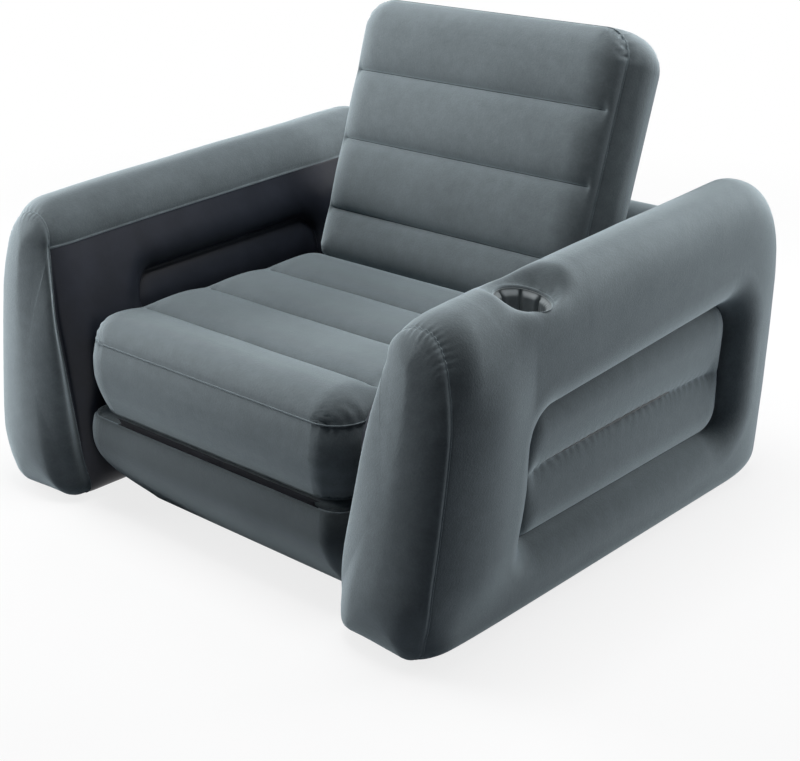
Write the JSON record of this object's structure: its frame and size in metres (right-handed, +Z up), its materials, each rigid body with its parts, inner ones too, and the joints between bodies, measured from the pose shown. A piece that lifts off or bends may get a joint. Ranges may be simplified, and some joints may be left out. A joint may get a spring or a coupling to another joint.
{
  "type": "inflatable sofa bed",
  "caption": "Inflatable armchair with air-filled arms and a cup holder, whose seat and backrest unfold forwards over a hinge to make a bed.",
  "frame": {"origin": "on the floor under the middle of the chair's bounding box, folded as an armchair", "axes": "+X across the chair to the arm with the cup holder, +Y to the rear (the chair faces -Y), +Z up"},
  "size_m": [1.184, 1.103, 0.9139],
  "materials": {
    "backrest_band": "short matt flocking",
    "backrest_front": "short matt flocking, a little lighter",
    "backrest_rear": "short matt flocking, a little lighter",
    "backrest_web_1": "plain light vinyl",
    "backrest_web_2": "plain light vinyl",
    "backrest_web_3": "plain light vinyl",
    "base_band": "short matt flocking",
    "base_bottom": "smooth dark vinyl",
    "base_top": "short matt flocking, a little lighter",
    "base_web_1": "plain light vinyl",
    "base_web_2": "plain light vinyl",
    "base_web_3": "plain light vinyl",
    "base_web_4": "plain light vinyl",
    "base_web_5": "plain light vinyl",
    "bed_valve_cap": "satin moulded plastic",
    "bed_valve_flange": "satin moulded plastic",
    "bed_valve_flap": "smooth dark vinyl",
    "bed_valve_insert": "satin moulded plastic",
    "cup_holder": "smooth dark vinyl",
    "fold_strip_backrest": "smooth dark vinyl",
    "fold_strip_seat": "smooth dark vinyl",
    "frame_valve_cap": "satin moulded plastic",
    "frame_valve_flange": "satin moulded plastic",
    "frame_valve_flap": "smooth dark vinyl",
    "frame_valve_insert": "satin moulded plastic",
    "hinge_strip_base": "smooth dark vinyl",
    "hinge_strip_seat": "smooth dark vinyl",
    "left_arm_bottom": "smooth dark vinyl",
    "left_arm_cover": "short matt flocking",
    "left_arm_front": "short matt flocking",
    "left_arm_inner": "smooth dark vinyl",
    "left_arm_inner_recess": "smooth dark vinyl",
    "left_arm_recess": "short matt flocking",
    "left_arm_web": "plain light vinyl",
    "right_arm_bottom": "smooth dark vinyl",
    "right_arm_cover": "short matt flocking",
    "right_arm_front": "short matt flocking",
    "right_arm_inner": "smooth dark vinyl",
    "right_arm_inner_recess": "smooth dark vinyl",
    "right_arm_recess": "short matt flocking",
    "right_arm_web": "plain light vinyl",
    "seat_band": "short matt flocking",
    "seat_bottom": "short matt flocking, a little lighter",
    "seat_top": "short matt flocking, a little lighter",
    "seat_web_1": "plain light vinyl",
    "seat_web_2": "plain light vinyl",
    "seat_web_3": "plain light vinyl",
    "wall_front": "short matt flocking",
    "wall_rear": "short matt flocking",
    "wall_top": "short matt flocking",
    "wall_web": "plain light vinyl"
  },
  "bodies": {
    "frame": {"base_band": "base_band", "base_bottom": "base_bottom", "base_top": "base_top", "base_web_1": "base_web_1", "base_web_2": "base_web_2", "base_web_3": "base_web_3", "base_web_4": "base_web_4", "base_web_5": "base_web_5", "cup_holder": "cup_holder", "frame_valve_flange": "frame_valve_flange", "hinge_strip_base": "hinge_strip_base", "left_arm_bottom": "left_arm_bottom", "left_arm_cover": "left_arm_cover", "left_arm_front": "left_arm_front", "left_arm_inner": "left_arm_inner", "left_arm_inner_recess": "left_arm_inner_recess", "left_arm_recess": "left_arm_recess", "left_arm_web": "left_arm_web", "right_arm_bottom": "right_arm_bottom", "right_arm_cover": "right_arm_cover", "right_arm_front": "right_arm_front", "right_arm_inner": "right_arm_inner", "right_arm_inner_recess": "right_arm_inner_recess", "right_arm_recess": "right_arm_recess", "right_arm_web": "right_arm_web", "wall_front": "wall_front", "wall_rear": "wall_rear", "wall_top": "wall_top", "wall_web": "wall_web"},
    "seat": {"seat_band": "seat_band", "seat_bottom": "seat_bottom", "seat_top": "seat_top", "seat_web_1": "seat_web_1", "seat_web_2": "seat_web_2", "seat_web_3": "seat_web_3", "hinge_strip_seat": "hinge_strip_seat", "fold_strip_seat": "fold_strip_seat"},
    "backrest": {"backrest_band": "backrest_band", "backrest_front": "backrest_front", "backrest_rear": "backrest_rear", "backrest_web_1": "backrest_web_1", "backrest_web_2": "backrest_web_2", "backrest_web_3": "backrest_web_3", "fold_strip_backrest": "fold_strip_backrest", "bed_valve_flange": "bed_valve_flange"},
    "frame_valve_insert_body": {"frame_valve_insert": "frame_valve_insert"},
    "frame_valve_cap_body": {"frame_valve_cap": "frame_valve_cap"},
    "frame_valve_flap_body": {"frame_valve_flap": "frame_valve_flap"},
    "bed_valve_insert_body": {"bed_valve_insert": "bed_valve_insert"},
    "bed_valve_cap_body": {"bed_valve_cap": "bed_valve_cap"},
    "bed_valve_flap_body": {"bed_valve_flap": "bed_valve_flap"}
  },
  "joints": [
    {"name": "seat_unfold", "type": "hinge", "parent": "frame", "child": "seat", "pos_m": [0, -0.51328, 0.20425], "axis": [1, 0, 0], "range_deg": [0, 180]},
    {"name": "backrest_fold", "type": "hinge", "parent": "seat", "child": "backrest", "pos_m": [0, 0.14682, 0.355], "axis": [-1, 0, 0], "range_deg": [0, 71.6]},
    {"name": "frame_valve_turn", "type": "hinge", "parent": "frame", "child": "frame_valve_insert_body", "pos_m": [0.20048, 0.5085, 0.33094], "axis": [0, 1, 0], "range_deg": [0, 90]},
    {"name": "frame_valve_cap_hinge", "type": "hinge", "parent": "frame_valve_insert_body", "child": "frame_valve_cap_body", "pos_m": [0.22498, 0.5133, 0.33094], "axis": [0, 0, -1], "range_deg": [0, 150]},
    {"name": "frame_valve_flap_hinge", "type": "hinge", "parent": "frame_valve_insert_body", "child": "frame_valve_flap_body", "pos_m": [0.21688, 0.4882, 0.33094], "axis": [0, 0, 1], "range_deg": [0, 60], "stiffness_Nm_per_rad": 0.002},
    {"name": "bed_valve_turn", "type": "hinge", "parent": "backrest", "child": "bed_valve_insert_body", "pos_m": [0.1342, 0.38034, 0.67061], "axis": [0, 0.9489, -0.3156], "range_deg": [0, 90]},
    {"name": "bed_valve_cap_hinge", "type": "hinge", "parent": "bed_valve_insert_body", "child": "bed_valve_cap_body", "pos_m": [0.1587, 0.38489, 0.6691], "axis": [0, -0.3156, -0.9489], "range_deg": [0, 150]},
    {"name": "bed_valve_flap_hinge", "type": "hinge", "parent": "bed_valve_insert_body", "child": "bed_valve_flap_body", "pos_m": [0.1506, 0.36107, 0.67702], "axis": [0, 0.3156, 0.9489], "range_deg": [0, 60], "stiffness_Nm_per_rad": 0.002}
  ],
  "couplings": [
    {"joint": "backrest_fold", "follows": "seat_unfold", "ratio": 0.3977}
  ]
}
